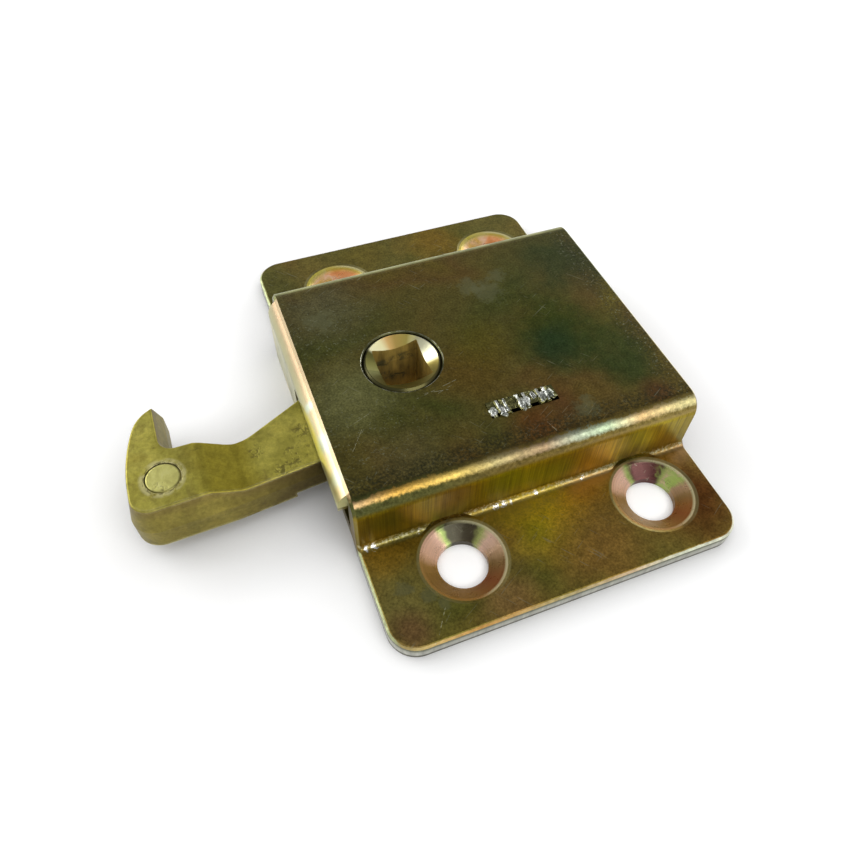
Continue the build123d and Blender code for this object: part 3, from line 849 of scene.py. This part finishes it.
def rubbedHues(paint, color, look):
    # the edges towards the front and the nose are painted bright, rubbed metal with a painted highlight; the
    # others stay dark
    rounded, turned = paint.edges(0.7)
    forward = paint.step(paint.vector("DOT_PRODUCT", rounded, look["highlightFrom"]), 0.15, 0.45)
    worn = paint.times(
        paint.step(turned, 0.02, 0.16), forward, paint.flecks(0.26, 0.54, 520, 3, 0.6), 0.9)
    color = paint.mix(worn, color, look["paleWearAndHighlight"])
    # the pin was riveted: a pale ring round its hole, with punch marks
    away = paint.distance(look["pin"])
    lip = paint.times(paint.fade(away, *look["lipRadii"]), paint.flecks(0.36, 0.56, 700, 3, 0.7))
    color = paint.mix(paint.times(lip, 0.55), color, look["paleWearAndHighlight"])
    punched = paint.times(paint.fade(away, *look["punchedRadii"]), paint.flecks(0.44, 0.58, 1500, 3, 0.7))
    return paint.mix(paint.times(punched, 0.7), color, look["stain"]), punched


def socketHues(paint, look):
    # scored brown by the broach, lighter low down, with grease in slanting lines on the rear wall
    scored = paint.noise(900, 4, 0.65, stretch=(1, 1, 5))
    color = paint.shade(look["socket"], paint.vary(scored, 0.55, 1.45))
    grease = paint.most(*[paint.line(*place) for place in look["greaseLines"]])
    grease = paint.times(grease, paint.flecks(0.44, 0.6, 520, 5, 0.75, 0.8))
    color = paint.mix(paint.times(paint.fade(paint.z, 5.5, 3.0), 0.5), color, look["socketFoot"])
    return paint.mix(paint.times(grease, 0.8), color, look["grease"])


def brassPaint(name, look):
    paint = Paint(name)
    pits = paint.noise(1900, 3, 0.7)
    mottle = paint.noise(520, 4, 0.65)
    color, scuffed = castHues(paint, look, pits, mottle)
    color, punched = rubbedHues(paint, color, look)
    # the hub is turned, and its mouth painted with highlights and dark reflections
    away = paint.reach(paint.x, paint.y)
    turn = paint.calc("ARCTAN2", paint.y, paint.x)
    raised = paint.calc("GREATER_THAN", paint.z, look["hubFrom"] * mm)
    hub = paint.times(paint.fade(away, *look["hubRadii"]), raised)
    color = paint.mix(hub, color, paint.around(turn, look["mouth"]))
    # a dark ring in the gap round the hub, painted shade
    hubGapShade = paint.times(hub, paint.fade(away, *look["hubGapShadeRadii"]))
    color = paint.mix(paint.times(hubGapShade, 0.8), color, look["hubGapShade"])
    wall = paint.times(paint.step(paint.up, 0.3, 0.1), paint.fade(away, *look["socketRadii"]))
    color = paint.mix(wall, color, socketHues(paint, look))
    height = paint.times(paint.plus(paint.times(pits, 0.5), mottle), paint.step(hub, 0.0, 1.0, 1.0, 0.1))
    paint.bump(paint.minus(height, paint.times(paint.most(scuffed, punched), 0.6)), 0.06, 0.8)
    rough = paint.plus(paint.step(hub, 0.0, 1.0, 0.46, 0.28), paint.times(wall, 0.22))
    # the mouth's painted highlight sector and the socket are made less metallic, so that their painted colour
    # shows
    share = paint.step(turn, -math.pi, math.pi, smooth=False)
    highlightSector = paint.times(hub, paint.between(share, *look["paintedHighlightArc"]))
    metal = paint.minus(0.92, paint.most(paint.times(wall, 0.52), paint.times(highlightSector, 0.7)))
    return paint.finish(color, rough, metal)


brassPin = {
    "hues": [(0.35, (0.54, 0.5, 0.15)), (0.55, (0.7, 0.67, 0.22)), (0.7, (0.78, 0.75, 0.32))],
    "dark": (0.16, 0.13, 0.045),
    "middle": (-35.85, -6.6, 9.85),  # mm
    "radius": 2.4,
    "deepest": (-0.7, -1.7),  # from the middle
}


def pinPaint(name, look):
    # a punched ring just inside the pin's edge, deeper towards the front left
    paint = Paint(name)
    color = paint.ramp(paint.noise(320, 4, 0.65, 0.4), *look["hues"])
    ring = paint.fade(paint.distance(look["middle"]), look["radius"] - 0.36, look["radius"] - 0.14)
    middle, offset = look["middle"], look["deepest"]
    front = (middle[0] + offset[0], middle[1] + offset[1], middle[2])
    deep = paint.times(paint.spot(front, 1.5, 0.6), paint.flecks(0.48, 0.58, 1500, 4, 0.75))
    marks = paint.most(ring, deep)
    color = paint.mix(paint.times(marks, 0.7), color, look["dark"])
    grain = paint.noise(2100, 3, 0.65)
    paint.bump(paint.minus(paint.times(grain, 0.6), marks), 0.06, 0.7)
    return paint.finish(color, paint.vary(grain, 0.36, 0.48), 0.92)


anchorSteel = {
    "hues": [(0.36, (0.4, 0.42, 0.38)), (0.5, (0.66, 0.68, 0.63)), (0.64, (0.9, 0.91, 0.87))],
    "film": (0.17, 0.165, 0.06),
    "sootAndShade": (0.035, 0.035, 0.03),
    "struck": 12.74,  # mm: above this height the chisel laid the steel bare
    "shadedBelow": (12.42, 12.2),  # mm: below these heights the tenon sits in the case's slot, painted as shade
}


def anchorPaint(name, look):
    paint = Paint(name)
    grain = paint.noise(1900, 4, 0.7)
    lumps = paint.noise(980, 1, 0.5, 0.5)
    bare = paint.ramp(paint.noise(800, 4, 0.65, 0.5), *look["hues"])
    film = paint.mix(paint.step(grain, 0.56, 0.66), look["film"], look["sootAndShade"])
    height = paint.plus(paint.z, paint.swing(lumps, 0.4 * mm))
    color = paint.mix(paint.fade(height, look["struck"] - 0.1, look["struck"]), film, bare)
    # below the case's top the tenon is painted dark, as shade in the slot
    color = paint.mix(paint.fade(paint.z, *look["shadedBelow"]), color, look["sootAndShade"])
    paint.bump(paint.plus(lumps, paint.times(grain, 0.1)), 0.55, 1.0)
    return paint.finish(color, paint.vary(grain, 0.18, 0.34))


# metal thrown up by the chisel over the three stakes; places and sizes in mm
stakeBurrs = {
    # middle, half length, half width, seed
    "lumps": [
        ((8.55, -13.3), 0.8, 0.95, 3),
        ((10.05, -13.15), 1.25, 1.6, 5),
        ((13.15, -13.05), 1.1, 1.75, 8),
        ((15.0, -12.55), 0.6, 0.7, 12),
        ((16.15, -13.05), 1.1, 1.55, 14),
        ((17.45, -12.95), 0.65, 0.95, 17),
    ],
    "foot": 12.25,
    "top": 12.79,
    "peaks": 3,
    "facets": 8,
    "rings": 24,
    "spokes": 72,
    "waves": [(3, 0.1), (5, 0.07), (9, 0.04)],  # of the outline: how many and how deep
    "slopes": (0.15, 0.95),
    "grit": (0.012, 17, 19),  # height of a fine waviness, and its waves over x and y
    "hues": [(0.36, (0.2, 0.22, 0.18)), (0.5, (0.46, 0.48, 0.43)), (0.64, (0.9, 0.91, 0.88))],
    "film": (0.17, 0.165, 0.06),
}


def burrPoints(form, middle, length, width, seed):
    # the point at share s and angle t is (length s w(t) cos t, width s w(t) sin t), with w the waving outline;
    # its height is the highest of a few peaks, each the lowest of several tilted planes, and falls to the foot
    rings, spokes, peaks, facets = (form[key] for key in ("rings", "spokes", "peaks", "facets"))
    foot, top = form["foot"], form["top"]
    share = np.linspace(1 / rings, 1, rings)[:, None]
    around = np.linspace(0, 2 * math.pi, spokes, endpoint=False)[None, :]
    draw = np.random.default_rng(seed)
    turns = draw.uniform(0, 2 * math.pi, 3)
    waves = [depth * np.sin(count * around + turn) for (count, depth), turn in zip(form["waves"], turns)]
    outline = 1 + sum(waves)
    x, y = length * share * outline * np.cos(around), width * share * outline * np.sin(around)
    offset = draw.uniform(-0.5, 0.5, (2, peaks, 1, 1, 1)) * np.array([length, width]).reshape(2, 1, 1, 1, 1)
    facing = draw.uniform(0, 2 * math.pi, (1, facets, 1, 1)) + draw.uniform(0, 1, (peaks, 1, 1, 1))
    slope = draw.uniform(*form["slopes"], (peaks, facets, 1, 1))
    start = draw.uniform(0.0, 0.25, (peaks, facets, 1, 1))
    along = (x - offset[0]) * np.cos(facing) + (y - offset[1]) * np.sin(facing)
    high = (top - slope * (along - start)).min(axis=1).max(axis=0)
    grit, overX, overY = form["grit"]
    high = np.minimum(high, top) + grit * np.sin(overX * x + turns[0]) * np.sin(overY * y + turns[1])
    high = np.clip(high, foot + 0.05, top)
    high = foot + (high - foot) * (1 - share ** 12)
    surface = np.stack([x + middle[0], y + middle[1], high], axis=-1).reshape(-1, 3)
    return np.concatenate([surface, [[*middle, high[0].mean()], [*middle, foot]]])


def burrFaces(rings, spokes):
    # quads between the rings, and a fan of triangles round the upper and round the lower middle point
    ring, spoke = np.meshgrid(np.arange(rings - 1), np.arange(spokes), indexing="ij")
    after = (spoke + 1) % spokes
    inner, outer = ring * spokes, (ring + 1) * spokes
    corners = [inner + spoke, outer + spoke, outer + after, inner + after]
    spin = np.arange(spokes)
    last, middle = (rings - 1) * spokes, np.full(spokes, rings * spokes)
    upper = np.stack([middle, spin, (spin + 1) % spokes], axis=1)
    lower = np.stack([middle + 1, last + (spin + 1) % spokes, last + spin], axis=1)
    return np.stack(corners, axis=-1).reshape(-1, 4), np.concatenate([upper, lower])


def addBurrs(name, form):
    quads, fans = burrFaces(form["rings"], form["spokes"])
    lumps = [burrPoints(form, *lump) for lump in form["lumps"]]
    faces = []
    for index, points in enumerate(lumps):
        base = index * len(points)
        faces += (quads + base).tolist() + (fans + base).tolist()
    mesh = bpy.data.meshes.new(name)
    mesh.from_pydata((np.concatenate(lumps) * mm).tolist(), [], faces)
    mesh.polygons.foreach_set("use_smooth", np.ones(len(mesh.polygons), dtype=bool))
    burrs = addObject(name, mesh)
    burrs.data.materials.append(burrPaint("bareSteel", form))
    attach(burrs, "case")


def burrPaint(name, look):
    paint = Paint(name)
    grain = paint.noise(1900, 4, 0.7)
    color = paint.ramp(paint.noise(900, 4, 0.65, 0.5), *look["hues"])
    color = paint.mix(paint.times(paint.fade(paint.z, 12.55, 12.42), 0.8), color, look["film"])
    paint.bump(grain, 0.05, 0.7)
    return paint.finish(color, paint.vary(grain, 0.2, 0.36))


# the leaf is cut across from start to end, in mm
blueLeaf = {
    "start": (6.6, -11.3, 5.0),
    "end": (-9.2, -8.6, 5.0),
    "cuts": 48,
    "weld": 0.001,
    "hues": [(0.35, (0.05, 0.06, 0.09)), (0.55, (0.09, 0.11, 0.16)), (0.7, (0.16, 0.15, 0.14))],
    "worn": (0.85, 0.85, 0.84),
    "rough": 0.28,
    "scale": 150,
}


def addLeaf(name, settings):
    # a merged copy of the solid leaf, cut across its length
    form = bmesh.new()
    form.from_mesh(nodes["leaf_spring"].data)
    bmesh.ops.remove_doubles(form, verts=form.verts, dist=settings["weld"] * mm)
    for x in np.linspace(settings["start"][0], settings["end"][0], settings["cuts"]):
        whole = form.verts[:] + form.edges[:] + form.faces[:]
        bmesh.ops.bisect_plane(form, geom=whole, plane_co=(x * mm, 0, 0), plane_no=(1, 0, 0))
    mesh = bpy.data.meshes.new(name)
    form.to_mesh(mesh)
    form.free()
    leaf = addObject(name, mesh)
    leaf.data.materials.clear()
    leaf.data.materials.append(steelPaint("blueSteel", settings))
    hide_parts("leaf_spring")
    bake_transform(leaf)


rivetSteel = {
    "hues": [(0.35, (0.35, 0.35, 0.33)), (0.55, (0.5, 0.5, 0.48)), (0.7, (0.6, 0.6, 0.57))],
    "worn": (0.85, 0.85, 0.84),
    "rough": 0.34,
    "scale": 300,
}


def steelPaint(name, look):
    paint = Paint(name)
    color = paint.ramp(paint.noise(look["scale"], 4, 0.65, 0.5), *look["hues"])
    grain = paint.noise(2400, 3, 0.6)
    worn = paint.times(paint.step(paint.edges(0.25)[1], 0.05, 0.3), 0.6)
    color = paint.mix(worn, color, look["worn"])
    paint.bump(grain, 0.03, 0.6)
    return paint.finish(color, paint.vary(grain, look["rough"] - 0.05, look["rough"] + 0.08))


addCamera(cameraView)
addLights(lighting)
addFloor(paperFloor)
print("camera, lights and floor are in place")

assign("case_cover", zincCasePaint("zincCase", zincSheet))
assign("base_plate", zincPlatePaint("zincPlate", zincSheet))
print("zinc sheet painted")

assign("hook_lever", brassPaint("castBrassHook", castBrass))
assign("nose_pin", pinPaint("brassPin", brassPin))
print("hook and pin painted")

assign("spring_anchor", anchorPaint("anchorSteel", anchorSteel))
addBurrs("stake_burrs", stakeBurrs)
addLeaf("spring_leaf", blueLeaf)
assign("spring_rivets", steelPaint("rivetSteel", rivetSteel))
print("anchor, spring and rivets painted")

bpy.context.scene.view_settings.view_transform = "Standard"
